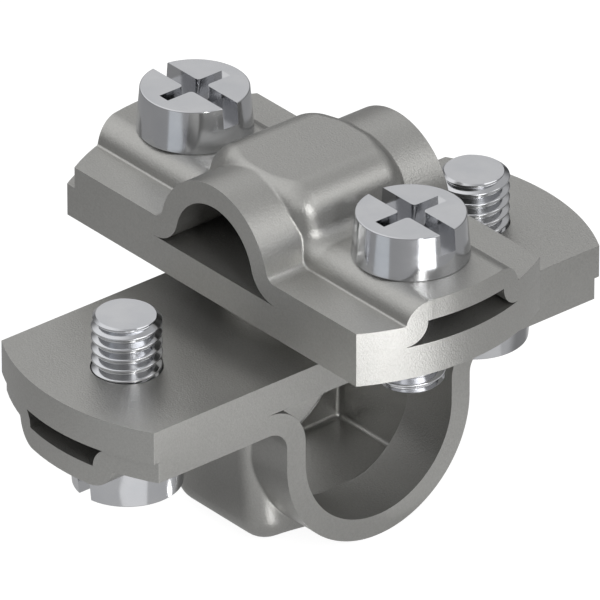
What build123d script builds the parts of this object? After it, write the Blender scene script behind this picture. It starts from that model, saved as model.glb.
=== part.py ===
from build123d import *
from math import asin, cos, degrees, radians, sqrt, tan
import os

# Rod clamp. A cross clamp in two storeys: a lower clamp for a rod and, lying across it on a spacer and
# a centre rivet, an upper clamp for a thinner round conductor. Each clamp is a flat base plate and a
# pressed cover held to it by two cheese-head screws. The lower clamp is built upside down: its cover
# and screw heads hang under its base plate, and its thread ends stand up through the plate.
# X runs along the upper clamp, Y along the lower one, Z up. The origin lies on the swivel axis, on the
# surface that the lower cover stands on. All sizes are in millimetres and all angles in degrees.

# Base plates
plate_thickness = 3.0
plate_width = 20.0
plate_end_radius = 20.0
upper_end_margin = 7.5        # from a screw's axis to the end of its plate
lower_end_margin = 8.0

# Pressed covers
sheet = 2.0
cover_setback = 0.5           # each end of a cover lies this far inside its base plate
cover_hole_play = 0.6         # radial, around the screws
play_left = 0.1               # the upper cover is pushed along X until only this much play is left
band_height = 2.0             # rise of the centre band above the flanges
band_half_width = 6.1         # outer side of the band and of the box
band_shoulder = 2.4           # outer rounding along the band and over the box
slot_half_width = 4.2         # hollow under the band
slot_flare = 2.0              # rounding where that hollow runs out on the base plate
box_wall = 1.5                # wall of the box beside the pocket
pocket_rounding = 0.5         # upright corners of the pocket

# Channels for the conductor, above, and for the rod, below
upper_channel_radius = 5.0
upper_channel_depth = 6.0
upper_channel_flare = 3.0
upper_box_foot = 0.8          # slanting foot of the box on the band
lower_channel_radius = 8.0
lower_channel_depth = 14.0
lower_channel_flare = 4.0
lower_box_foot = 1.2

# Screws: cheese heads with a slot and a cross recess
screw_diameter = 6.0
screw_length = 12.0
screw_point_chamfer = 0.42
head_diameter = 10.0
head_height = 3.9
head_draft = 5.0
drive_slot_width = 1.6
drive_slot_depth = 1.9
cross_wing_width = 1.1
cross_wing_length = 6.8
cross_core_diameter = 2.45
cross_core_bottom = 1.4
cross_depth = 2.8
tapped_hole_clearance = 0.05  # radial
upper_head_gap = 1.2          # from the foot of the box to the nearest screw head
lower_head_gap = 2.8
passing_gap = 1.0             # from the side of the lower base plate to the ends of the upper screws

# Centre rivet, and the spacer between the base plates
plate_gap = 3.0
rivet_diameter = 6.0
rivet_clearance = 0.05        # radial, in the plate that swivels
spacer_diameter = 14.0

# Aids for cutting and picking
proud = 1.0                   # a cutting shape stands this far out of the piece that it cuts
near = 0.01                   # an edge this close to a plane counts as lying on it

# Places of the screws, and the lengths that follow from them
upper_box_foot_end = upper_channel_radius + sheet + upper_box_foot
lower_box_foot_end = lower_channel_radius + sheet + lower_box_foot
upper_screw_spacing = max(
    2 * (upper_box_foot_end + upper_head_gap) + head_diameter,
    plate_width + 2 * passing_gap + screw_diameter,
)
lower_screw_spacing = 2 * (lower_box_foot_end + lower_head_gap) + head_diameter
upper_plate_length = upper_screw_spacing + 2 * upper_end_margin
lower_plate_length = lower_screw_spacing + 2 * lower_end_margin
upper_cover_shift = cover_hole_play - play_left

# Heights of the storeys
lower_base_bottom = lower_channel_depth + sheet
lower_base_top = lower_base_bottom + plate_thickness
upper_base_bottom = lower_base_top + plate_gap
upper_base_top = upper_base_bottom + plate_thickness


def plan(length):
    """Plan of a plate or cover: straight long sides, and ends rounded to the end radius."""
    tip, side = length / 2, plate_width / 2
    corner = tip - plate_end_radius + sqrt(plate_end_radius**2 - side**2)
    return make_face([
        Line((-corner, -side), (corner, -side)),
        ThreePointArc((corner, -side), (tip, 0), (corner, side)),
        Line((corner, side), (-corner, side)),
        ThreePointArc((-corner, side), (-tip, 0), (-corner, -side)),
    ])


def arch_outline(radius, crown, flare, foot, bottom):
    """Section of an arch over the line at height bottom; its feet flare out at height foot."""
    centre = crown - radius
    flare_height = foot + flare
    lean = degrees(asin(max(flare_height - centre, 0) / (radius + flare)))
    flare_place = (radius + flare) * cos(radians(lean))
    edges = [
        CenterArc((0, centre), radius, lean, 180 - 2 * lean),
        CenterArc((flare_place, flare_height), flare, 180 + lean, 90 - lean),
        CenterArc((-flare_place, flare_height), flare, 270, 90 - lean),
        Line((flare_place, foot), (flare_place, bottom)),
        Line((flare_place, bottom), (-flare_place, bottom)),
        Line((-flare_place, bottom), (-flare_place, foot)),
    ]
    if flare_height < centre:
        edges += [Line((side * radius, flare_height), (side * radius, centre)) for side in (-1, 1)]
    return make_face(edges)


def ridge_outline(length, half_box, crown, foot):
    """Long section of the raised band with the box in its middle."""
    band_top = sheet + band_height
    wall = crown - band_top
    foot = min(foot, wall / 4)
    rounding = min(band_shoulder, wall - foot - near)
    outline = Pos(0, band_top / 2) * Rectangle(length, band_top)
    outline += Pos(0, crown / 2) * Rectangle(2 * half_box, crown)
    outline = fillet(outline.vertices().filter_by(lambda v: v.Y > crown - near), rounding)
    roots = outline.vertices().filter_by(
        lambda v: abs(v.Y - band_top) < near and abs(v.X) < half_box + near
    )
    return chamfer(roots, foot)


def slot_outline():
    """Cross-section of the hollow under the band, flared where it meets the base plate."""
    flare = min(slot_flare, band_height)
    foot = slot_half_width + flare
    below = -proud
    edges = [
        Line((-slot_half_width, band_height), (slot_half_width, band_height)),
        CenterArc((foot, flare), flare, 180, 90),
        CenterArc((-foot, flare), flare, 270, 90),
        Line((foot, 0), (foot, below)),
        Line((foot, below), (-foot, below)),
        Line((-foot, below), (-foot, 0)),
    ]
    if flare < band_height:
        edges += [
            Line((side * slot_half_width, flare), (side * slot_half_width, band_height)) for side in (-1, 1)
        ]
    return make_face(edges)


def pressed_cover(plate_length, spacing, radius, depth, flare, box_foot):
    """Cover on the plane at height 0, long along X, with its channel crossing along Y."""
    length = plate_length - 2 * cover_setback
    crown = depth + sheet
    half_box = radius + sheet
    band_top = sheet + band_height
    blank = extrude(plan(length), crown)

    flanges = extrude(plan(length), sheet)
    outer_arch = arch_outline(half_box, crown, max(flare - sheet, near), sheet, 0)
    arch = extrude(Plane.XZ * outer_arch, plate_width / 2, both=True)
    long_section = ridge_outline(length, half_box, crown, box_foot)
    ridge = extrude(Plane.XZ * long_section, band_half_width, both=True)
    shoulders = ridge.edges().filter_by(
        lambda e: abs(abs(e.center().Y) - band_half_width) < near and e.center().Z > band_top - near
    )
    ridge = fillet(shoulders, band_shoulder)

    inner_arch = arch_outline(radius, depth, flare, 0, -proud)
    channel = extrude(Plane.XZ * inner_arch, plate_width / 2 + proud, both=True)
    slot = extrude(Plane.YZ * slot_outline(), length / 2 + proud, both=True)
    pocket_half_width = band_half_width - box_wall
    pocket = Pos(0, 0, depth / 2) * Box(2 * radius, 2 * pocket_half_width, depth)
    pocket = fillet(pocket.edges().filter_by(Axis.Z), pocket_rounding)

    cover = (flanges + arch + ridge) & blank
    cover = cover - channel - slot - pocket
    hole = Cylinder(screw_diameter / 2 + cover_hole_play, 2 * (band_top + proud))
    for side in (-1, 1):
        cover -= Pos(side * spacing / 2, 0) * hole
    return cover


def base_plate(length, spacing):
    """Flat plate with two tapped holes, its underside at height 0, long along X."""
    plate = extrude(plan(length), plate_thickness)
    tapped = Cylinder(screw_diameter / 2 + tapped_hole_clearance, 2 * (plate_thickness + proud))
    for side in (-1, 1):
        plate -= Pos(side * spacing / 2, 0) * tapped
    return plate


def rivet_shank(clearance):
    """The rivet, flush with the outer faces of both base plates, or with a clearance the bore for it."""
    grip = 2 * plate_thickness + plate_gap
    return Pos(0, 0, lower_base_bottom + grip / 2) * Cylinder(rivet_diameter / 2 + clearance, grip)


def cheese_head_screw():
    """Screw with its head standing on height 0 and its slot along X."""
    shank = screw_diameter / 2
    point = shank - screw_point_chamfer
    foot = head_diameter / 2
    top = foot - head_height * tan(radians(head_draft))
    half_section = make_face(Polyline(
        (0, -screw_length), (point, -screw_length), (shank, -screw_length + screw_point_chamfer),
        (shank, 0), (foot, 0), (top, head_height), (0, head_height), close=True,
    ))
    screw = revolve(Plane.XZ * half_section, Axis.Z)

    screw -= Pos(0, 0, head_height) * Box(head_diameter, drive_slot_width, 2 * drive_slot_depth)
    wing_end, core_end = cross_wing_length / 2, cross_core_bottom / 2
    wing = make_face(Polyline(
        (-wing_end, proud), (-wing_end, 0), (-core_end, -cross_depth),
        (core_end, -cross_depth), (wing_end, 0), (wing_end, proud), close=True,
    ))
    screw -= Pos(0, 0, head_height) * extrude(Plane.YZ * wing, cross_wing_width / 2, both=True)
    core = Cone(cross_core_bottom / 2, cross_core_diameter / 2, cross_depth)
    return screw - Pos(0, 0, head_height - cross_depth / 2) * core


def build():
    """All pieces in their places, by node name."""
    turned = Rot(0, 0, 90)
    hanging = Rot(180, 0, 0) * turned
    rivet = rivet_shank(0)
    swivel_bore = rivet_shank(rivet_clearance)

    lower_cover = pressed_cover(
        lower_plate_length, lower_screw_spacing, lower_channel_radius, lower_channel_depth,
        lower_channel_flare, lower_box_foot,
    )
    upper_cover = pressed_cover(
        upper_plate_length, upper_screw_spacing, upper_channel_radius, upper_channel_depth,
        upper_channel_flare, upper_box_foot,
    )
    pieces = {
        "lower_base_plate":
            Pos(0, 0, lower_base_bottom) * turned * base_plate(lower_plate_length, lower_screw_spacing) - rivet,
        "lower_cover": Pos(0, 0, lower_base_bottom) * hanging * lower_cover,
        "swivel_rivet": rivet,
        "spacer_ring":
            Pos(0, 0, lower_base_top + plate_gap / 2) * Cylinder(spacer_diameter / 2, plate_gap) - rivet,
        "upper_base_plate":
            Pos(0, 0, upper_base_bottom) * base_plate(upper_plate_length, upper_screw_spacing) - swivel_bore,
        "upper_cover": Pos(upper_cover_shift, 0, upper_base_top) * upper_cover,
    }
    screw = cheese_head_screw()
    under_head = sheet + band_height
    for name, side in (("left", -1), ("right", 1)):
        place = Pos(side * upper_screw_spacing / 2, 0, upper_base_top + under_head)
        pieces[f"upper_screw_{name}"] = place * screw
    for name, side in (("front", -1), ("rear", 1)):
        place = Pos(0, side * lower_screw_spacing / 2, lower_base_bottom - under_head)
        pieces[f"lower_screw_{name}"] = place * hanging * screw
    return pieces


if __name__ == "__main__":
    os.makedirs("parts", exist_ok=True)
    for name, piece in build().items():
        export_step(piece, f"parts/{name}.step")
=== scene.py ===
"""Rod clamp: two pressed covers, each screwed to a flat base plate, one clamp lying across the other.

The pieces are modelled in millimetres, in the frame of the sub-assembly that they belong to, and are
then put in their place on the clamp in metres.
"""
import logging
import math
from contextlib import contextmanager
from dataclasses import dataclass
from enum import Enum
from typing import Callable, Iterator

import bmesh
import bpy
from mathutils import Matrix, Vector

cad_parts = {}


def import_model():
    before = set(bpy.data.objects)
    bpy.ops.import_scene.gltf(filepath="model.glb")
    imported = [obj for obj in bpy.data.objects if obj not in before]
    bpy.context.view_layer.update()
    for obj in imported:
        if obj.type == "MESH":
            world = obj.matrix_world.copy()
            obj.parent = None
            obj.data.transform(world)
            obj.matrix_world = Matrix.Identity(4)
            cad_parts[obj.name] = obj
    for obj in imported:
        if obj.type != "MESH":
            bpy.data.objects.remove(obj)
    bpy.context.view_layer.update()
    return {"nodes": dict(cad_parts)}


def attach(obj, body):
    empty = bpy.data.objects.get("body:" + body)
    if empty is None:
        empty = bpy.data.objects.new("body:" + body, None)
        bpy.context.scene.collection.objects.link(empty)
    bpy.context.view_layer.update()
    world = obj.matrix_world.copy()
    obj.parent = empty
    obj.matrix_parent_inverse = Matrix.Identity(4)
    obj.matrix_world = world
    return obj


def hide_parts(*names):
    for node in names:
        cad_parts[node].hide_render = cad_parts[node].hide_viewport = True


log = logging.getLogger("rod_clamp")

Piece = bpy.types.Object
Socket = bpy.types.NodeSocket
Inputs = dict[str | int, object]
Point = tuple[float, float]
Place = tuple[float, float, float]
Colour = tuple[float, float, float]
EdgeTest = Callable[[bmesh.types.BMEdge], bool]

# In metres
MILLIMETRE = 0.001

# In millimetres: how far off a point still counts as in its place, how near two points are one, and
# how far a cutting tool reaches past the piece
NEAR = 0.01
MERGE = 0.002
PAST = 1.0

# In degrees: the least angle of an edge that is broken
SHARP = 35.0

# Chords of the arcs in the sections of plates and cutting tools
END_CHORDS, FLARE_CHORDS, CHANNEL_CHORDS, CORNER_CHORDS = 48, 16, 72, 6

# How finely a cover's skin is drawn: millimetres between its rows, numbers of rows, numbers of points
# in a row, and the places of the points on the flange
FLAT_SPACING, WALL_SPACING = 0.3, 0.4
BEND_ROWS, END_ROWS = 18, 16
TOP_POINTS, SHOULDER_POINTS, WALL_POINTS, ROOT_POINTS = 3, 12, 3, 5
FLANGE_SHARES = (0.12, 0.4, 0.7, 1.0)

# Numbers of the Mix node's two inputs and its output, by what it mixes
MIX_SOCKETS = {"FLOAT": (2, 3, 0), "RGBA": (6, 7, 2)}


class Finish(Enum):
    """Finishes of the clamp, by the material slot of the record that they belong to."""

    SHEET = "galvanised_sheet"
    TURNED = "bright_zinc"


# Work on meshes

def pick(piece: Piece) -> None:
    """Select a piece alone and make it the active one."""
    bpy.ops.object.select_all(action="DESELECT")
    piece.select_set(True)
    bpy.context.view_layer.objects.active = piece


@contextmanager
def editing(piece: Piece, select_mode: str = "EDGE") -> Iterator[None]:
    """Open a piece in edit mode with nothing selected, and close it again.

    Args:
        piece: The piece to edit.
        select_mode: EDGE or FACE.
    """
    pick(piece)
    bpy.ops.object.mode_set(mode="EDIT")
    bpy.ops.mesh.select_mode(type=select_mode)
    bpy.ops.mesh.select_all(action="DESELECT")
    yield
    bpy.ops.object.mode_set(mode="OBJECT")


def select(piece: Piece, wanted: Callable[[object], bool], kind: str = "edges") -> int:
    """Select what passes a test on the piece in edit mode.

    Args:
        piece: The piece.
        wanted: The test.
        kind: What is tested, edges or faces.

    Returns:
        How many are selected.
    """
    mesh = bmesh.from_edit_mesh(piece.data)
    count = 0
    for element in getattr(mesh, kind):
        element.select_set(wanted(element))
        count += element.select
    bmesh.update_edit_mesh(piece.data)
    return count


def merge(distance: float, sliver: float = 0.0) -> None:
    """Merge points nearer than a distance in edit mode, and dissolve what is smaller than a sliver."""
    bpy.ops.mesh.select_all(action="SELECT")
    bpy.ops.mesh.remove_doubles(threshold=distance)
    if sliver:
        bpy.ops.mesh.dissolve_degenerate(threshold=sliver)


def face_outwards() -> None:
    """Turn all faces of the closed shape in edit mode outwards."""
    bpy.ops.mesh.select_all(action="SELECT")
    bpy.ops.mesh.normals_make_consistent(inside=False)


def modified(piece: Piece, kind: str, **settings: object) -> None:
    """Add a modifier to a piece and apply it.

    Args:
        piece: The piece to change.
        kind: The modifier's type.
        **settings: The modifier's settings by name.
    """
    pick(piece)
    bpy.ops.object.modifier_add(type=kind)
    modifier = piece.modifiers[-1]
    for name, value in settings.items():
        setattr(modifier, name, value)
    bpy.ops.object.modifier_apply(modifier=modifier.name)


def cut(piece: Piece, tool: Piece, operation: str = "DIFFERENCE") -> None:
    """Cut a piece with a closed tool, which is used up, by DIFFERENCE or by INTERSECT."""
    modified(piece, "BOOLEAN", operation=operation, object=tool, solver="EXACT")
    bpy.data.objects.remove(tool, do_unlink=True)


def turned_and_placed(piece: Piece, placing: Matrix) -> None:
    """Put a piece in its place by a transform from its own frame, and leave the place in its mesh."""
    piece.matrix_world = placing
    pick(piece)
    bpy.ops.object.transform_apply(location=True, rotation=True, scale=True)


def arc(centre: Point, radius: float, start: float, end: float, steps: int) -> list[Point]:
    """Points along an arc.

    Args:
        centre: The arc's centre.
        radius: Its radius.
        start: The angle of the first point, in degrees.
        end: The angle of the last point, in degrees.
        steps: How many chords the arc has.

    Returns:
        The points, both ends included.
    """
    angles = [math.radians(start + (end - start) * step / steps) for step in range(steps + 1)]
    return [(centre[0] + radius * math.cos(a), centre[1] + radius * math.sin(a)) for a in angles]


def between(start: Place, end: Place, share: float) -> Place:
    """The point at a share of the way from one point to another."""
    return tuple(a + (b - a) * share for a, b in zip(start, end))


def prism(outline: list[Point], axis: str, low: float, high: float) -> Piece:
    """A straight bar with the given section.

    Args:
        outline: The section, as points in the plane square to the axis.
        axis: X, Y or Z. On Y the outline's points are X and Z, on X they are Y and Z.
        low: Where the bar starts along the axis.
        high: Where it ends.

    Returns:
        The bar, a closed mesh.
    """
    bpy.ops.mesh.primitive_circle_add(vertices=len(outline), radius=10, fill_type="NGON")
    bar = bpy.context.active_object
    for vertex, (a, b) in zip(bar.data.vertices, outline):
        vertex.co = {"X": (low, a, b), "Y": (a, low, b), "Z": (a, b, low)}[axis]
    length = high - low
    move = {"X": (length, 0, 0), "Y": (0, length, 0), "Z": (0, 0, length)}[axis]
    with editing(bar, "FACE"):
        bpy.ops.mesh.select_all(action="SELECT")
        bpy.ops.mesh.extrude_region_move(TRANSFORM_OT_translate={"value": move})
        face_outwards()
    return bar


def post(radius: float, low: float, high: float, place: Point = (0.0, 0.0), sides: int = 96) -> Piece:
    """A round post along Z.

    Args:
        radius: The post's radius.
        low: Height of its lower end.
        high: Height of its upper end.
        place: Where its axis stands.
        sides: How many flats it has.

    Returns:
        The post, a closed mesh.
    """
    bpy.ops.mesh.primitive_cylinder_add(
        vertices=sides, radius=radius, depth=high - low, end_fill_type="NGON",
        location=(place[0], place[1], (low + high) / 2),
    )
    bar = bpy.context.active_object
    turned_and_placed(bar, bar.matrix_world.copy())
    return bar


def is_sharp(edge: bmesh.types.BMEdge, least: float = SHARP) -> bool:
    """Tell whether the faces at an edge turn by more than the given angle, in degrees."""
    return len(edge.link_faces) == 2 and edge.calc_face_angle(0.0) > math.radians(least)


def broken_edges(piece: Piece, width: float, steps: int, wanted: EdgeTest) -> None:
    """Round a piece's chosen edges a little, as tumbling and plating leave them.

    Args:
        piece: The piece to finish.
        width: How far the rounding reaches from the edge.
        steps: How many chords it has.
        wanted: The test that chooses the edges.
    """
    with editing(piece):
        count = select(piece, wanted)
        if count:
            bpy.ops.mesh.bevel(
                offset=width, offset_type="OFFSET", segments=steps, profile=0.5, affect="EDGES",
                clamp_overlap=False, loop_slide=False,
            )
        merge(MERGE, MERGE)
    log.info("%s: %d edges rounded to %.2f mm", piece.name, count, width)


def volume(piece: Piece) -> float:
    """The volume inside a closed piece, in its own units."""
    mesh = bmesh.new()
    mesh.from_mesh(piece.data)
    inside = mesh.calc_volume()
    mesh.free()
    return inside


def smoothed(piece: Piece, angle: float = 32.0) -> None:
    """Shade a piece smooth, apart from the edges that turn by more than an angle in degrees."""
    pick(piece)
    bpy.ops.object.shade_smooth_by_angle(angle=math.radians(angle))
    modified(piece, "WEIGHTED_NORMAL", keep_sharp=True, weight=80)


def copied(piece: Piece) -> Piece:
    """A copy of a piece with a mesh of its own."""
    pick(piece)
    bpy.ops.object.duplicate(linked=False)
    return bpy.context.active_object


# Placing

def standing(x: float, y: float, z: float) -> Matrix:
    """The transform of an upper piece: upright, along X, at a place in millimetres."""
    return Matrix.Scale(MILLIMETRE, 4) @ Matrix.Translation((x, y, z))


def crossing(x: float, y: float, z: float) -> Matrix:
    """The transform of an upright piece that lies along Y, at a place in millimetres."""
    return standing(x, y, z) @ Matrix.Rotation(math.pi / 2, 4, "Z")


def hanging(x: float, y: float, z: float) -> Matrix:
    """The transform of a lower piece: upside down, along Y, at a place in millimetres."""
    turn = Matrix.Rotation(math.pi, 4, "X") @ Matrix.Rotation(math.pi / 2, 4, "Z")
    return standing(x, y, z) @ turn


# Pressed covers

@dataclass(frozen=True)
class Row:
    """A row of a cover's outer skin: its point on the ridge, the ridge's normal, and its reach."""

    along: float
    height: float
    normal_along: float
    normal_up: float
    reach: float = 0.0

    def mirrored(self) -> "Row":
        """The same row on the other half of the cover."""
        return Row(-self.along, self.height, -self.normal_along, self.normal_up, self.reach)


@dataclass
class PressedCover:
    """A cover pressed from sheet: a band along it, a box in its middle and a channel across it."""

    name: str
    length: float
    spacing: float
    channel_radius: float
    channel_depth: float
    channel_flare: float
    box_rounding: float
    box_foot: float
    box_lean: float
    box_flat: float
    box_rise: float = 0.0
    width: float = 20.0
    end_radius: float = 20.0
    sheet: float = 2.0
    band_height: float = 2.0
    band_half_width: float = 6.1
    shoulder: float = 2.4
    arch_shoulder: float = 1.0
    slot_half_width: float = 4.1
    slot_flare: float = 2.1
    box_wall: float = 1.5
    pocket_rounding: float = 0.5
    hole_radius: float = 3.6
    edge: float = 0.03
    root: float = 0.22
    pocket_rim: float = 0.12

    @property
    def crown(self) -> float:
        """Height of the arch."""
        return self.channel_depth + self.sheet

    @property
    def half_box(self) -> float:
        """Half the length of the box, and the outer radius of the arch."""
        return self.channel_radius + self.sheet

    @property
    def band_top(self) -> float:
        """Height of the band."""
        return self.sheet + self.band_height

    @property
    def pocket_side(self) -> float:
        """Half the width of the pocket."""
        return self.band_half_width - self.box_wall

    def end_at(self, across: float) -> float:
        """How far the rounded end reaches at a distance from the middle line."""
        tip = self.length / 2
        return tip - self.end_radius + math.sqrt(self.end_radius**2 - across**2)

    def half_ridge(self) -> list[Row]:
        """Rows along the ridge from the middle of the box to the end of the cover.

        Returns:
            The rows, in order.
        """
        lean = math.radians(self.box_lean)
        top = self.crown + self.box_rise
        bends = self.box_rounding + self.box_foot
        straight = (top - self.band_top - bends * (1 - math.cos(lean))) / math.sin(lean)
        steps = math.ceil(self.box_flat / FLAT_SPACING)
        rows = [Row(self.box_flat * k / steps, top, 0, 1) for k in range(steps + 1)]
        for k in range(1, BEND_ROWS + 1):
            s, c = math.sin(lean * k / BEND_ROWS), math.cos(lean * k / BEND_ROWS)
            rows.append(Row(self.box_flat + self.box_rounding * s, top - self.box_rounding * (1 - c), s, c))
        last = rows[-1]
        steps = max(2, math.ceil(straight / WALL_SPACING))
        for k in range(1, steps + 1):
            down = straight * k / steps
            rows.append(Row(
                last.along + down * math.cos(lean), last.height - down * math.sin(lean),
                math.sin(lean), math.cos(lean),
            ))
        last = rows[-1]
        centre = (last.along + self.box_foot * math.sin(lean), self.band_top + self.box_foot)
        for k in range(1, BEND_ROWS + 1):
            s, c = math.sin(lean * (1 - k / BEND_ROWS)), math.cos(lean * (1 - k / BEND_ROWS))
            rows.append(Row(centre[0] - self.box_foot * s, centre[1] - self.box_foot * c, s, c))
        rows += [Row(centre[0], self.band_top, 0, 1, k / END_ROWS) for k in range(1, END_ROWS + 1)]
        return rows

    def shoulder_at(self, row: Row) -> float:
        """Radius of the shoulder along a row, which tightens where the arch runs into the box."""
        share = min(max((abs(row.along) - 1.0) / (0.8 * self.half_box - 1.0), 0.0), 1.0)
        share = share * share * (3 - 2 * share)
        return self.arch_shoulder + (self.shoulder - self.arch_shoulder) * share

    def in_arch(self, along: float, height: float) -> bool:
        """Tell whether a point of the long section lies inside the arch or the flange."""
        along = abs(along)
        centre = self.crown - self.half_box
        flare = self.channel_flare - self.sheet
        flare_height = self.sheet + flare
        lean = math.asin(max(flare_height - centre, 0) / (self.half_box + flare))
        flare_place = (self.half_box + flare) * math.cos(lean)
        flare_top = centre + self.half_box * math.sin(lean) if lean else flare_height
        if height <= self.sheet:
            return True
        if height < centre:
            in_wall = along <= self.half_box
        else:
            in_wall = math.hypot(along, height - centre) <= self.half_box
        past_circle = math.hypot(along - flare_place, height - flare_height) >= flare
        return in_wall or (height < flare_top and along < flare_place and past_circle)

    def depth_to_arch(self, row: Row, step: float = 0.05, halvings: int = 24) -> float:
        """How deep under the ridge the arch or flange lies, square to the ridge.

        Args:
            row: The row to measure at.
            step: The step of the first search.
            halvings: How often the last step is halved.

        Returns:
            The depth, which is 0 where the arch is flush with the ridge.
        """
        def inside(depth: float) -> bool:
            """Tell whether the point at a depth lies inside the arch or the flange."""
            along = row.along - depth * row.normal_along
            return self.in_arch(along, row.height - depth * row.normal_up + 1e-6)

        high = 0.0
        while not inside(high):
            high += step
        low = max(high - step, 0.0)
        for _ in range(halvings):
            middle = (low + high) / 2
            low, high = (low, middle) if inside(middle) else (middle, high)
        return high

    def on_shoulder(self, row: Row, shoulder: float, turn: float) -> Place:
        """The point of a row's shoulder at an angle, in radians, from the flat top."""
        sunk = shoulder * (1 - math.cos(turn))
        return (
            row.along - sunk * row.normal_along,
            self.band_half_width - shoulder * (1 - math.sin(turn)),
            row.height - sunk * row.normal_up,
        )

    def lane(self, row: Row) -> list[Place]:
        """Points of one row of the skin, from the middle line to the side of the cover.

        Args:
            row: The row.

        Returns:
            The points: over the flat top, round the shoulder, down the wall, round the root and out.
        """
        shoulder = self.shoulder_at(row)
        depth = self.depth_to_arch(row)
        turn = math.acos(1 - min(depth, shoulder) / shoulder)
        edge = self.on_shoulder(row, shoulder, turn)
        foot = edge
        if depth > shoulder:
            centre = self.crown - self.half_box
            shrink = self.half_box / math.hypot(edge[0], edge[2] - centre)
            foot = (edge[0] * shrink, edge[1], centre + (edge[2] - centre) * shrink)
        wall = math.dist(edge, foot)
        root = min(self.root, 0.8 * (wall + shoulder * turn))
        if root < wall:
            start = between(foot, edge, root / wall)
        else:
            turn -= (root - wall) / shoulder
            start = edge = self.on_shoulder(row, shoulder, turn)
        flat = self.band_half_width - shoulder
        lane = [(row.along, flat * k / TOP_POINTS, row.height) for k in range(TOP_POINTS)]
        for k in range(SHOULDER_POINTS + 1):
            lane.append(self.on_shoulder(row, shoulder, turn * k / SHOULDER_POINTS))
        lane += [between(edge, start, k / WALL_POINTS) for k in range(1, WALL_POINTS + 1)]
        end = (foot[0], foot[1] + root, foot[2])
        for k in range(1, ROOT_POINTS + 1):
            share = k / ROOT_POINTS
            lane.append(between(between(start, foot, share), between(foot, end, share), share))
        side = (foot[0], self.width / 2, foot[2])
        lane += [between(end, side, share) for share in FLANGE_SHARES]
        if row.reach:
            way = math.copysign(1, row.along)
            lane = [
                (row.along + way * (self.end_at(across) - abs(row.along)) * row.reach, across, height)
                for _, across, height in lane
            ]
        return lane

    def skin(self) -> Piece:
        """The outer skin as a net of faces, drawn over the die and closed down to the flange's plane.

        Returns:
            The closed blank of the cover.
        """
        half = self.half_ridge()
        rows = [row.mirrored() for row in reversed(half[1:])] + half
        lanes = [self.lane(row) for row in rows]
        middle = len(lanes[0]) - 1
        bpy.ops.mesh.primitive_grid_add(x_subdivisions=len(rows) - 1, y_subdivisions=2 * middle, size=40)
        blank = bpy.context.active_object
        blank.name = self.name
        for vertex in blank.data.vertices:
            line, row = divmod(vertex.index, len(rows))
            along, out, height = lanes[row][abs(line - middle)]
            vertex.co = (along, math.copysign(out, line - middle), height)
        side = self.width / 2 - 1e-4
        fine = 0.0008
        with editing(blank):
            merge(fine, fine)
            select(blank, lambda e: e.is_boundary and not all(abs(v.co.y) > side for v in e.verts))
            bpy.ops.mesh.extrude_edges_move(TRANSFORM_OT_translate={"value": (0, 0, 0)})
            bpy.ops.transform.resize(value=(1, 1, 0), center_override=(0, 0, 0))
            for way in (-1, 1):
                select(blank, lambda e: e.is_boundary and all(way * v.co.y > side for v in e.verts))
                bpy.ops.mesh.edge_face_add()
            select(blank, lambda e: e.is_boundary)
            bpy.ops.mesh.edge_face_add()
            face_outwards()
        return blank

    def channel_tool(self) -> Piece:
        """The round channel that crosses the cover, with its flared feet."""
        centre = self.channel_depth - self.channel_radius
        flare = self.channel_flare
        lean = math.degrees(math.asin(max(flare - centre, 0) / (self.channel_radius + flare)))
        place = (self.channel_radius + flare) * math.cos(math.radians(lean))
        # Where the flares run straight into the arc, they share a point with it
        skipped = 0 if flare < centre else 1
        outline = arc((place, flare), flare, 270, 180 + lean, FLARE_CHORDS)
        outline += arc((0, centre), self.channel_radius, lean, 180 - lean, CHANNEL_CHORDS)[skipped:]
        outline += arc((-place, flare), flare, -lean, -90, FLARE_CHORDS)[skipped:]
        outline += [(-place, -PAST), (place, -PAST)]
        return prism(outline, "Y", -self.width, self.width)

    def slot_tool(self) -> Piece:
        """The hollow under the band, flared where it runs out on the base plate."""
        foot = self.slot_half_width + self.slot_flare
        outline = arc((foot, self.slot_flare), self.slot_flare, 270, 180, FLARE_CHORDS)
        outline += arc((-foot, self.slot_flare), self.slot_flare, 0, -90, FLARE_CHORDS)
        outline += [(-foot, -PAST), (foot, -PAST)]
        return prism(outline, "X", -self.length, self.length)

    def pocket_tool(self) -> Piece:
        """The square pocket inside the box."""
        end, side, turn = self.channel_radius, self.pocket_side, self.pocket_rounding
        outline = []
        for x, y, start in ((end, side, 0), (-end, side, 90), (-end, -side, 180), (end, -side, 270)):
            centre = (x - math.copysign(turn, x), y - math.copysign(turn, y))
            outline += arc(centre, turn, start, start + 90, CORNER_CHORDS)
        tool = prism(outline, "Z", -PAST, self.channel_depth)
        broken_edges(tool, turn, 5, lambda e: all(v.co.z > self.channel_depth - NEAR for v in e.verts))
        return tool

    def made(self) -> Piece:
        """Press the cover: the skin, its hollows and holes, and its broken edges.

        Returns:
            The finished cover in its own frame.
        """
        cover = self.skin()
        for tool in (self.channel_tool, self.slot_tool, self.pocket_tool):
            cut(cover, tool())
        for way in (-1, 1):
            cut(cover, post(self.hole_radius, -PAST, self.crown, (way * self.spacing / 2, 0)))
        with editing(cover):
            merge(0.006, 0.004)

        def is_rim(edge: bmesh.types.BMEdge) -> bool:
            """Tell whether an edge is the pocket's rim inside the channel."""
            walled = all(abs(abs(v.co.y) - self.pocket_side) < NEAR and v.co.z > 0.3 for v in edge.verts)
            return walled and edge.is_convex and is_sharp(edge, 20)

        def open_edge(edge: bmesh.types.BMEdge) -> bool:
            """Tell whether an edge is sharp, outward and clear of the base plate."""
            clear = any(v.co.z > NEAR for v in edge.verts)
            return clear and edge.is_convex and is_sharp(edge)

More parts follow.
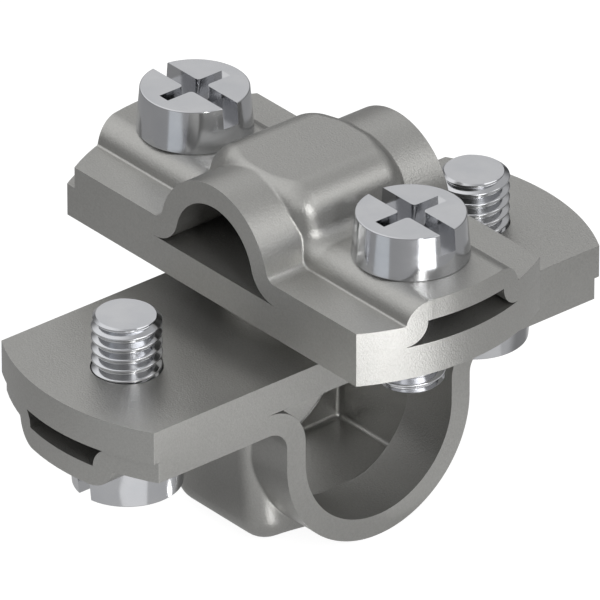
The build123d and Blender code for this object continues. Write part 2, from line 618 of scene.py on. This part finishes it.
        broken_edges(cover, self.pocket_rim, 3, is_rim)
        broken_edges(cover, self.edge, 2, open_edge)
        smoothed(cover)
        log.info("%s: %.0f cubic millimetres", self.name, volume(cover))
        return cover


# Base plates

@dataclass
class BasePlate:
    """A flat plate with rounded ends, two tapped holes and a bore for the rivet."""

    length: float
    spacing: float
    centre_bore: float
    thickness: float = 3.0
    width: float = 20.0
    end_radius: float = 20.0
    mating_height: float = 3.0
    hole_radius: float = 3.05
    edge: float = 0.03

    def made(self) -> Piece:
        """Stamp the plate, drill it and break its edges.

        Returns:
            The finished plate in its own frame, its underside at height 0.
        """
        half = math.degrees(math.asin(self.width / 2 / self.end_radius))
        centre = self.length / 2 - self.end_radius
        outline = arc((centre, 0), self.end_radius, -half, half, END_CHORDS)
        outline += arc((-centre, 0), self.end_radius, 180 - half, 180 + half, END_CHORDS)
        plate = prism(outline, "Z", 0.0, self.thickness)
        hole, apart = self.hole_radius, self.spacing / 2
        for radius, along in ((hole, -apart), (hole, apart), (self.centre_bore, 0)):
            cut(plate, post(radius, -PAST, self.thickness + PAST, (along, 0)))

        def open_edge(edge: bmesh.types.BMEdge) -> bool:
            """Tell whether an edge is sharp and doesn't lie against the cover."""
            clear = any(abs(v.co.z - self.mating_height) > NEAR for v in edge.verts)
            return clear and is_sharp(edge)

        broken_edges(plate, self.edge, 2, open_edge)
        smoothed(plate)
        log.info("base plate: %.0f cubic millimetres", volume(plate))
        return plate


# Screws

@dataclass
class CheeseHeadScrew:
    """A machine screw with a cheese head, driven by a slot or by a cross."""

    radius: float = 3.0
    root_radius: float = 2.46
    pitch: float = 1.0
    length: float = 12.0
    point_chamfer: float = 0.42
    head_radius: float = 5.0
    head_height: float = 3.9
    head_draft: float = 5.0
    slot_width: float = 1.6
    slot_depth: float = 1.9
    wing_width: float = 1.1
    wing_length: float = 6.8
    core_bottom: float = 1.4
    cross_depth: float = 2.8
    corner: float = 0.4
    rim: float = 0.1
    recess_margin: float = 0.12

    def head(self) -> Piece:
        """Turn the head and cut its slot and cross.

        Returns:
            The head, standing on height 0 with its slot along X.
        """
        top = self.head_radius - self.head_height * math.tan(math.radians(self.head_draft))
        head = post(self.head_radius, 0.0, self.head_height, sides=160)
        with editing(head, "FACE"):
            select(head, lambda face: face.normal.z > 0.9, "faces")
            share = top / self.head_radius
            bpy.ops.transform.resize(value=(share, share, 1), center_override=(0, 0, self.head_height))

        past = self.head_height + PAST
        half, bottom = self.slot_width / 2, self.head_height - self.slot_depth
        outline = [(-half, bottom), (half, bottom), (half, past), (-half, past)]
        cut(head, prism(outline, "X", -self.head_radius - PAST, self.head_radius + PAST))
        wing, core = self.wing_length / 2, self.core_bottom / 2
        floor = self.head_height - self.cross_depth
        slope = (wing - core) / self.cross_depth
        outline = [(-core, floor), (core, floor), (wing + slope, past), (-wing - slope, past)]
        cut(head, prism(outline, "X", -self.wing_width / 2, self.wing_width / 2))
        with editing(head):
            merge(NEAR)

        def crossing_corner(edge: bmesh.types.BMEdge) -> bool:
            """Tell whether an edge is an upright corner between the slot and the cross."""
            near = all(math.hypot(v.co.x, v.co.y) < self.slot_width for v in edge.verts)
            upright = abs(edge.verts[0].co.z - edge.verts[1].co.z) > 0.5
            return near and upright and is_sharp(edge, 60) and edge.is_convex

        def outer_rim(edge: bmesh.types.BMEdge) -> bool:
            """Tell whether an edge lies on the head's outer rims."""
            level = abs(edge.verts[0].co.z - edge.verts[1].co.z) < NEAR
            end = edge.verts[0].co.z < NEAR or edge.verts[0].co.z > self.head_height - NEAR
            outside = all(math.hypot(v.co.x, v.co.y) > top - NEAR for v in edge.verts)
            return level and end and outside and is_sharp(edge)

        broken_edges(head, self.corner, 5, crossing_corner)
        broken_edges(head, self.rim, 3, outer_rim)
        self.paint_recess_shade(head)
        log.info("head: %.0f cubic millimetres", volume(head))
        return head

    def paint_recess_shade(self, head: Piece) -> None:
        """Mark the faces of the slot and the cross for painted shade, a darker colour that stands in for
        the shade inside them.
        """
        draft = math.tan(math.radians(self.head_draft))
        marks = head.data.attributes.new("painted_shade_mask", "FLOAT", "FACE")
        for face, mark in zip(head.data.polygons, marks.data):
            skin = self.head_radius - face.center.z * draft - self.recess_margin
            inside = math.hypot(face.center.x, face.center.y) < skin
            # Painted shade: faces inside the slot and the cross are marked to take a darker colour
            mark.value = float(inside and 0.02 < face.center.z < self.head_height - 0.005)

    def thread(self) -> Piece:
        """Roll the thread and chamfer its point.

        Returns:
            The threaded shank, hanging from height 0.
        """
        depth = self.radius - self.root_radius
        # One turn of the thread: shares of the pitch, and of the thread's depth
        shape = [
            (0.0, 0.0), (0.07, 0.0), (0.13, 0.08), (0.37, 0.85), (0.43, 0.97), (0.5, 1.0),
            (0.57, 0.97), (0.63, 0.85), (0.87, 0.08), (0.93, 0.0), (1.0, 0.0),
        ]
        bpy.ops.mesh.primitive_circle_add(vertices=len(shape), radius=1, fill_type="NOTHING")
        thread = bpy.context.active_object
        turns = int(self.length / self.pitch) + 3
        start = -self.length - 1.5 * self.pitch
        for vertex, (share, rise) in zip(thread.data.vertices, shape):
            vertex.co = (self.root_radius + depth * rise, 0.0, start + share * self.pitch)
        with editing(thread):
            select(thread, lambda e: abs(e.verts[0].index - e.verts[1].index) > 1)
            bpy.ops.mesh.delete(type="EDGE")
        modified(
            thread, "SCREW", axis="Z", angle=2 * math.pi, screw_offset=self.pitch, iterations=turns,
            steps=72, render_steps=72, use_merge_vertices=True, merge_threshold=0.001,
        )
        with editing(thread):
            merge(MERGE)
            for height, cleared in ((0.5, "clear_outer"), (-self.length, "clear_inner")):
                bpy.ops.mesh.select_all(action="SELECT")
                bpy.ops.mesh.bisect(
                    plane_co=(0, 0, height), plane_no=(0, 0, 1), use_fill=True, threshold=1e-5,
                    **{cleared: True},
                )
            face_outwards()
        cut(thread, self.envelope(), "INTERSECT")
        log.info("thread: %.0f cubic millimetres", volume(thread))
        return thread

    def envelope(self, around: float = 0.4) -> Piece:
        """The space that the thread may fill, which tapers along the chamfer at its point.

        Args:
            around: How far it stands off the thread's crests.

        Returns:
            The envelope, a closed mesh.
        """
        envelope = post(self.radius + around, -self.length - PAST, PAST, sides=144)
        with editing(envelope, "FACE"):
            select(envelope, lambda face: face.normal.z < -0.9, "faces")
            bpy.ops.transform.translate(value=(0, 0, PAST))
            share = (self.radius - self.point_chamfer) / (self.radius + around)
            bpy.ops.mesh.extrude_region_move(TRANSFORM_OT_translate={"value": (0, 0, 0)})
            bpy.ops.transform.resize(value=(share, share, 1), center_override=(0, 0, -self.length))
            ring = self.point_chamfer + around
            mesh = bmesh.from_edit_mesh(envelope.data)
            for vertex in mesh.verts:
                outer = math.hypot(vertex.co.x, vertex.co.y) > self.radius + around / 2
                if vertex.co.z < 0 and outer:
                    vertex.co.z = -self.length + ring
            bmesh.update_edit_mesh(envelope.data)
        return envelope

    def made(self) -> Piece:
        """Join the head and the thread.

        Returns:
            The finished screw, its head standing on height 0.
        """
        head, thread = self.head(), self.thread()
        pick(head)
        thread.select_set(True)
        bpy.ops.object.join()
        smoothed(head, 28.0)
        return head


# Finishes

def feed(node: bpy.types.Node, inputs: Inputs) -> None:
    """Fill a node's inputs.

    Args:
        node: The node.
        inputs: For each input, by name or number, its value or the socket that it is linked to.
    """
    for key, value in inputs.items():
        if isinstance(value, Socket):
            node.id_data.links.new(value, node.inputs[key])
        else:
            node.inputs[key].default_value = value


def add_node(
    tree: bpy.types.NodeTree, kind: str, inputs: Inputs | None = None, **settings: object
) -> bpy.types.Node:
    """Add a node to a tree.

    Args:
        tree: The tree.
        kind: The node's type.
        inputs: Its inputs, as feed takes them.
        **settings: Its properties by name.

    Returns:
        The node.
    """
    node = tree.nodes.new(kind)
    for name, value in settings.items():
        setattr(node, name, value)
    feed(node, inputs or {})
    return node


def mapped(value: Socket, span: Point, to: Point = (0.0, 1.0), curve: str = "SMOOTHSTEP") -> Socket:
    """Map a value from one span to another, held at both ends, by a SMOOTHSTEP or LINEAR curve."""
    inputs = dict(enumerate((value, *span, *to)))
    return add_node(value.id_data, "ShaderNodeMapRange", inputs, interpolation_type=curve).outputs[0]


def product(one: Socket, other: Socket) -> Socket:
    """The product of two values."""
    return add_node(one.id_data, "ShaderNodeMath", {0: one, 1: other}, operation="MULTIPLY").outputs[0]


def mixed(tree: bpy.types.NodeTree, kind: str, share: object, start: object, end: object) -> Socket:
    """Mix two values or two colours, each given outright or as a socket.

    Args:
        tree: The tree to build in.
        kind: FLOAT for values, RGBA for colours.
        share: How much of the end is in the mix, from 0 to 1.
        start: What the mix is at 0.
        end: What it is at 1.

    Returns:
        The mix.
    """
    first, second, result = MIX_SOCKETS[kind]
    node = add_node(tree, "ShaderNodeMix", {0: share, first: start, second: end}, data_type=kind)
    return node.outputs[result]


def seen_strength(tree: bpy.types.NodeTree, direct: float, mirrored: Socket) -> Socket:
    """The glow of something pale, as the camera sees it and as gloss and glass show it.

    Args:
        tree: The tree to build in.
        direct: The glow on the camera's rays.
        mirrored: The glow on glossy rays and on rays that were let through.

    Returns:
        The socket with the glow.
    """
    ray = tree.nodes.new("ShaderNodeLightPath").outputs
    inputs = {0: ray["Is Glossy Ray"], 1: ray["Is Transmission Ray"]}
    either = add_node(tree, "ShaderNodeMath", inputs, operation="MAXIMUM").outputs[0]
    return mixed(tree, "FLOAT", ray["Is Camera Ray"], product(either, mirrored), direct)


def grain_group() -> bpy.types.NodeTree:
    """Fine even speckle of a galvanised and tumbled surface, with soft clouds under it.

    Returns:
        A group that takes two sizes in millimetres, and puts out a speckle and clouds, both from 0 to
        1, and a height.
    """
    tree = bpy.data.node_groups.new("zinc_grain", "ShaderNodeTree")
    for label, size in (("Speckle Size", 0.3), ("Cloud Size", 6.0)):
        socket = tree.interface.new_socket(label, in_out="INPUT", socket_type="NodeSocketFloat")
        socket.default_value = size
    for label in ("Speckle", "Clouds", "Height"):
        tree.interface.new_socket(label, in_out="OUTPUT", socket_type="NodeSocketFloat")
    entry, result = tree.nodes.new("NodeGroupInput"), tree.nodes.new("NodeGroupOutput")
    place = tree.nodes.new("ShaderNodeTexCoord").outputs["Object"]

    def noise(size: str, detail: float, roughness: float) -> Socket:
        """Noise with the detail, the roughness and the size that an input of the group gives."""
        sizes = {0: 1 / MILLIMETRE, 1: entry.outputs[size]}
        scale = add_node(tree, "ShaderNodeMath", sizes, operation="DIVIDE").outputs[0]
        inputs = {"Vector": place, "Scale": scale, "Detail": detail, "Roughness": roughness}
        return add_node(tree, "ShaderNodeTexNoise", inputs).outputs["Fac"]

    fine, soft = noise("Speckle Size", 3.0, 0.62), noise("Cloud Size", 2.0, 0.5)
    feed(result, {
        "Speckle": mapped(fine, (0.34, 0.66), curve="LINEAR"),
        "Clouds": mapped(soft, (0.3, 0.7), curve="LINEAR"),
        "Height": fine,
    })
    return tree


@dataclass(frozen=True)
class ZincFinish:
    """A zinc surface: its colours, its gloss, and the speckle and clouds in them.

    The tone runs from dark to light, and painted shade darkens the slot and the cross of a head. The
    roughness runs between its two values with the output of the grain group that is named. Sizes are in
    millimetres, the bump in metres.
    """

    dark: Colour
    light: Colour
    recess_shade_colour: Colour | None
    metallic: float
    roughness: Point
    roughened_by: str
    speckle_size: float
    cloud_size: float
    cloud_share: float
    bump_strength: float
    bump_depth: float

    def made(self, name: str, grain: bpy.types.NodeTree) -> bpy.types.Material:
        """Build the material.

        Args:
            name: The material's name.
            grain: The group for the speckle and the clouds.

        Returns:
            The material.
        """
        material = bpy.data.materials.new(name)
        material.use_nodes = True
        tree = material.node_tree
        sizes = {"Speckle Size": self.speckle_size, "Cloud Size": self.cloud_size}
        film = add_node(tree, "ShaderNodeGroup", sizes, node_tree=grain).outputs
        tone = mixed(tree, "FLOAT", self.cloud_share, film["Speckle"], film["Clouds"])
        colour = mixed(tree, "RGBA", tone, (*self.dark, 1), (*self.light, 1))
        if self.recess_shade_colour:
            # Painted shade: the marked slot and cross take the darker colour
            painted_shade_mask = add_node(tree, "ShaderNodeAttribute", attribute_name="painted_shade_mask").outputs["Fac"]
            colour = mixed(tree, "RGBA", painted_shade_mask, colour, (*self.recess_shade_colour, 1))
        relief = {"Strength": self.bump_strength, "Distance": self.bump_depth, "Height": film["Height"]}
        feed(tree.nodes["Principled BSDF"], {
            "Metallic": self.metallic,
            "Base Color": colour,
            "Roughness": mapped(film[self.roughened_by], (0.0, 1.0), self.roughness, "LINEAR"),
            "Normal": add_node(tree, "ShaderNodeBump", relief).outputs["Normal"],
        })
        return material


FINISHES = {
    # Matt grey zinc on pressed and stamped sheet
    Finish.SHEET: ZincFinish(
        dark=(0.42, 0.417, 0.402), light=(0.50, 0.497, 0.48), recess_shade_colour=None, metallic=0.85,
        roughness=(0.30, 0.37), roughened_by="Clouds", speckle_size=0.16, cloud_size=7.0,
        cloud_share=0.3, bump_strength=0.5, bump_depth=0.00006,
    ),
    # Bright smooth zinc plating on turned steel
    Finish.TURNED: ZincFinish(
        # The third colour is painted shade for the slot and the cross
        dark=(0.61, 0.62, 0.645), light=(0.665, 0.67, 0.69), recess_shade_colour=(0.56, 0.565, 0.58), metallic=1.0,
        roughness=(0.11, 0.16), roughened_by="Speckle", speckle_size=0.5, cloud_size=3.0,
        cloud_share=1.0, bump_strength=0.05, bump_depth=0.00001,
    ),
}


# Studio

@dataclass
class Studio:
    """A white floor and surround, soft light and the camera.

    The camera's angles are in degrees, and lengths are in metres. The floor's shine is what glossy
    surfaces see of it: painted light and shade, brighter to the right, dimmer far away and in spots
    near the clamp, which the clamp shows as painted reflections. Dim, bright and skyline are the
    world's strengths as a light.
    """

    azimuth: float = 49.976
    elevation: float = 29.821
    distance: float = 1.19489
    target: Place = (0.0, 0.0, 0.019)
    lens: float = 855.8
    shift: Point = (-0.00353, -0.01221)
    floor_size: float = 6.0
    floor_drop: float = 0.00002
    floor_tone: float = 0.25
    floor_glow: float = 0.92
    # The floor's shine is painted light and shade for the clamp's reflections: dim on the left, bright on
    # the right, dim far away, and darker in painted shade spots
    shine_left: float = 0.23
    shine_right: float = 0.35
    shine_turn: Point = (-0.03, -0.006)
    shine_far: float = 0.14
    shine_end: Point = (0.05, 0.072)
    shine_in_shade_spots: float = 0.22
    shade_spot_edge: Point = (0.004, 0.011)
    hollows: tuple[Place, ...] = ((-0.003, -0.018, 0.0), (0.006, 0.032, 0.0))
    bright_side: Place = (-0.7, -0.5, 0.2)
    side_turn: Point = (-0.05, 0.6)
    dim: float = 0.52
    bright: float = 1.03
    skyline: float = 0.17
    sky_rise: Point = (0.15, 0.56)
    panel_height: float = 0.0004

    def camera(self) -> None:
        """Set up the camera."""
        az, el = math.radians(self.azimuth), math.radians(self.elevation)
        way = Vector((math.sin(az) * math.cos(el), -math.cos(az) * math.cos(el), math.sin(el)))
        bpy.ops.object.camera_add(location=Vector(self.target) + way * self.distance)
        camera = bpy.context.active_object
        camera.rotation_euler = way.to_track_quat("Z", "Y").to_euler()
        camera.data.lens = self.lens
        camera.data.sensor_width = 36.0
        camera.data.shift_x, camera.data.shift_y = self.shift
        camera.data.clip_start, camera.data.clip_end = 0.05, 20.0
        bpy.context.scene.camera = camera

    def floor(self) -> None:
        """Lay the floor, which keeps the clamp's shadow and is white past it."""
        bpy.ops.mesh.primitive_plane_add(size=self.floor_size, location=(0, 0, -self.floor_drop))
        floor = bpy.context.active_object
        floor.name = "floor"
        material = bpy.data.materials.new("floor_white")
        material.use_nodes = True
        tree = material.node_tree
        place = tree.nodes.new("ShaderNodeTexCoord").outputs["Object"]
        across = add_node(tree, "ShaderNodeSeparateXYZ", {0: place}).outputs["X"]
        # Painted reflections: the glow that glossy rays see runs from dim on the left to bright on the
        # right, is darkened in painted shade spots near the clamp, and turns dim far away
        close = mapped(across, self.shine_turn, (self.shine_left, self.shine_right))
        for hollow in self.hollows:
            gap = add_node(tree, "ShaderNodeVectorMath", {0: place, 1: hollow}, operation="DISTANCE")
            close = product(close, mapped(gap.outputs["Value"], self.shade_spot_edge, (self.shine_in_shade_spots, 1.0)))
        away = add_node(tree, "ShaderNodeVectorMath", {0: place}, operation="LENGTH").outputs["Value"]
        shine = mixed(tree, "FLOAT", mapped(away, self.shine_end), close, self.shine_far)
        feed(tree.nodes["Principled BSDF"], {
            "Base Color": (*[self.floor_tone] * 3, 1),
            "Roughness": 0.8,
            "Specular IOR Level": 0.0,
            "Emission Color": (1, 1, 1, 1),
            "Emission Strength": seen_strength(tree, self.floor_glow, shine),
        })
        floor.data.materials.append(material)

    def surround(self) -> None:
        """Make the world: white where it is seen, and as a light dimmer on the right and at the skyline."""
        world = bpy.data.worlds.new("surround")
        bpy.context.scene.world = world
        world.use_nodes = True
        tree = world.node_tree
        way = tree.nodes.new("ShaderNodeTexCoord").outputs["Generated"]
        sides = {0: way, 1: self.bright_side}
        side = add_node(tree, "ShaderNodeVectorMath", sides, operation="DOT_PRODUCT").outputs["Value"]
        height = add_node(tree, "ShaderNodeSeparateXYZ", {0: way}).outputs["Z"]
        light = product(
            mapped(side, self.side_turn, (self.dim, self.bright)),
            mapped(height, self.sky_rise, (self.skyline, 1.0)),
        )
        seen = tree.nodes.new("ShaderNodeLightPath").outputs["Is Camera Ray"]
        feed(tree.nodes["Background"], {
            "Color": (1, 1, 1, 1),
            "Strength": mixed(tree, "FLOAT", seen, light, 1.0),
        })

    def area_light(self, name: str, place: Place, size: Point, power: float) -> Piece:
        """Put up an area light that the camera doesn't see.

        Args:
            name: The light's name.
            place: Where it is.
            size: Its width and height.
            power: Its power in watts.

        Returns:
            The light, which shines down.
        """
        bpy.ops.object.light_add(type="AREA", location=place)
        light = bpy.context.active_object
        light.name = name
        light.data.shape = "RECTANGLE"
        light.data.size, light.data.size_y = size
        light.data.energy = power
        light.visible_camera = False
        return light

    def lamp(self, name: str, place: Place, size: Point, power: float) -> None:
        """Hang a soft lamp that faces the clamp, with its values as area_light takes them."""
        lamp = self.area_light(name, place, size, power)
        lamp.rotation_euler = (Vector(place) - Vector(self.target)).to_track_quat("Z", "Y").to_euler()

    def low_panel(self, name: str, place: Point, size: Point, power: float, tint: float = 1.0) -> None:
        """Lay a shining panel on the floor, which only the clamp sees.

        Args:
            name: The panel's name.
            place: Where its middle lies.
            size: Its length along X and along Y.
            power: Its power in watts.
            tint: How much red it has for its blue.
        """
        panel = self.area_light(name, (*place, self.panel_height), size, power)
        panel.rotation_euler = (math.pi, 0, 0)
        panel.data.color = (tint, (1 + tint) / 2, 1.0)

    def set_up(self) -> None:
        """Set up the camera, the floor, the world and the lamps."""
        self.camera()
        self.floor()
        self.surround()
        self.lamp("key_right", (0.678, 0.457, 0.755), (0.65, 0.65), 1.4)
        self.lamp("card_right", (0.2125, -0.073, 0.136), (0.02, 0.12), 0.15)
        self.low_panel("panel_near", (0.0615, -0.017), (0.027, 0.054), 0.0104)
        self.low_panel("panel_right", (0.1625, -0.012), (0.175, 0.044), 0.0552)
        self.low_panel("panel_edge", (0.125, -0.029), (0.1, 0.014), 0.031)
        self.low_panel("panel_front", (0.0055, -0.115), (0.043, 0.09), 0.0040, tint=0.85)
        self.low_panel("panel_arch", (0.018, 0.012), (0.014, 0.020), 0.00015)
        self.low_panel("panel_heel", (0.015, -0.026), (0.012, 0.012), 0.00016)
        self.low_panel("panel_corner", (0.036, -0.038), (0.026, 0.02), 0.0014)
        self.low_panel("panel_foot", (0.0100, -0.0085), (0.003, 0.002), 0.00006)
        bpy.context.scene.view_settings.view_transform = "Standard"


# The clamp

@dataclass
class RodClamp:
    """The whole clamp: two storeys, each a base plate, a cover and two screws."""

    materials: dict[Finish, bpy.types.Material]
    lower_spacing: float = 38.0
    upper_spacing: float = 28.0
    lower_base_bottom: float = 16.0
    upper_base_bottom: float = 22.0
    thickness: float = 3.0
    head_seat: float = 4.0
    upper_shift: float = 0.5

    def dress(self, piece: Piece, finish: Finish) -> None:
        """Give a piece the material of its finish."""
        piece.data.materials.clear()
        piece.data.materials.append(self.materials[finish])

    def deliver(
        self, piece: Piece, placing: Matrix, name: str, node: str, body: str, finish: Finish = Finish.SHEET
    ) -> None:
        """Put a finished piece in its place, name and dress it, and hand it to the body that carries it.

        Args:
            piece: The finished piece in its own frame.
            placing: The transform to its place.
            name: Its own name.
            node: The solid that it stands for.
            body: The body that it moves with.
            finish: The finish that it has.
        """
        turned_and_placed(piece, placing)
        piece.name = piece.data.name = name
        self.dress(piece, finish)
        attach(piece, body)
        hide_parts(node)
        log.info("%s: %d faces, on %s", name, len(piece.data.polygons), body)

    def covers(self) -> None:
        """Make both pressed covers."""
        upper = PressedCover(
            "upper_cover_sheet", 42.0, self.upper_spacing, channel_radius=5.0, channel_depth=6.0,
            channel_flare=3.0, box_rounding=3.2, box_foot=1.6, box_lean=72.0, box_flat=3.6, box_rise=0.15,
            pocket_rim=0.08,
        )
        placing = standing(self.upper_shift, 0, self.upper_base_bottom + self.thickness)
        self.deliver(upper.made(), placing, upper.name, "upper_cover", "upper_cover")
        lower = PressedCover(
            "lower_cover_sheet", 53.0, self.lower_spacing, channel_radius=8.0, channel_depth=14.0,
            channel_flare=4.0, box_rounding=2.8, box_foot=2.0, box_lean=84.0, box_flat=7.1,
        )
        placing = hanging(0, 0, self.lower_base_bottom)
        self.deliver(lower.made(), placing, lower.name, "lower_cover", "lower_cover")

    def plates(self) -> None:
        """Make both base plates."""
        upper = BasePlate(43.0, self.upper_spacing, 3.05)
        placing = standing(0, 0, self.upper_base_bottom)
        self.deliver(upper.made(), placing, "upper_plate", "upper_base_plate", "upper_base")
        lower = BasePlate(54.0, self.lower_spacing, 3.0, mating_height=0.0)
        placing = crossing(0, 0, self.lower_base_bottom)
        self.deliver(lower.made(), placing, "lower_plate", "lower_base_plate", "lower_base")

    def screws(self) -> None:
        """Make one screw and copy it to its four places."""
        pattern = CheeseHeadScrew().made()
        upper_seat = self.upper_base_bottom + self.thickness + self.head_seat
        lower_seat = self.lower_base_bottom - self.head_seat
        places = {
            "upper_screw_left": standing(-self.upper_spacing / 2, 0, upper_seat),
            "upper_screw_right": standing(self.upper_spacing / 2, 0, upper_seat),
            "lower_screw_front": hanging(0, -self.lower_spacing / 2, lower_seat),
            "lower_screw_rear": hanging(0, self.lower_spacing / 2, lower_seat),
        }
        for node, placing in places.items():
            self.deliver(copied(pattern), placing, f"{node}_turned", node, node, Finish.TURNED)
        bpy.data.objects.remove(pattern, do_unlink=True)

    def hidden_pieces(self, nodes: dict[str, Piece]) -> None:
        """Dress the rivet and the spacer, whose solids have their true shape."""
        for node in ("swivel_rivet", "spacer_ring"):
            self.dress(nodes[node], Finish.SHEET)
            log.info("%s: dressed", node)


def main() -> None:
    """Build the clamp on the fixed frame and set up the studio."""
    logging.basicConfig(level=logging.INFO, format="%(name)s: %(message)s")
    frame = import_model()
    grain = grain_group()
    clamp = RodClamp({finish: zinc.made(finish.value, grain) for finish, zinc in FINISHES.items()})
    clamp.covers()
    clamp.plates()
    clamp.screws()
    clamp.hidden_pieces(frame["nodes"])
    Studio().set_up()


if __name__ == "__main__":
    main()
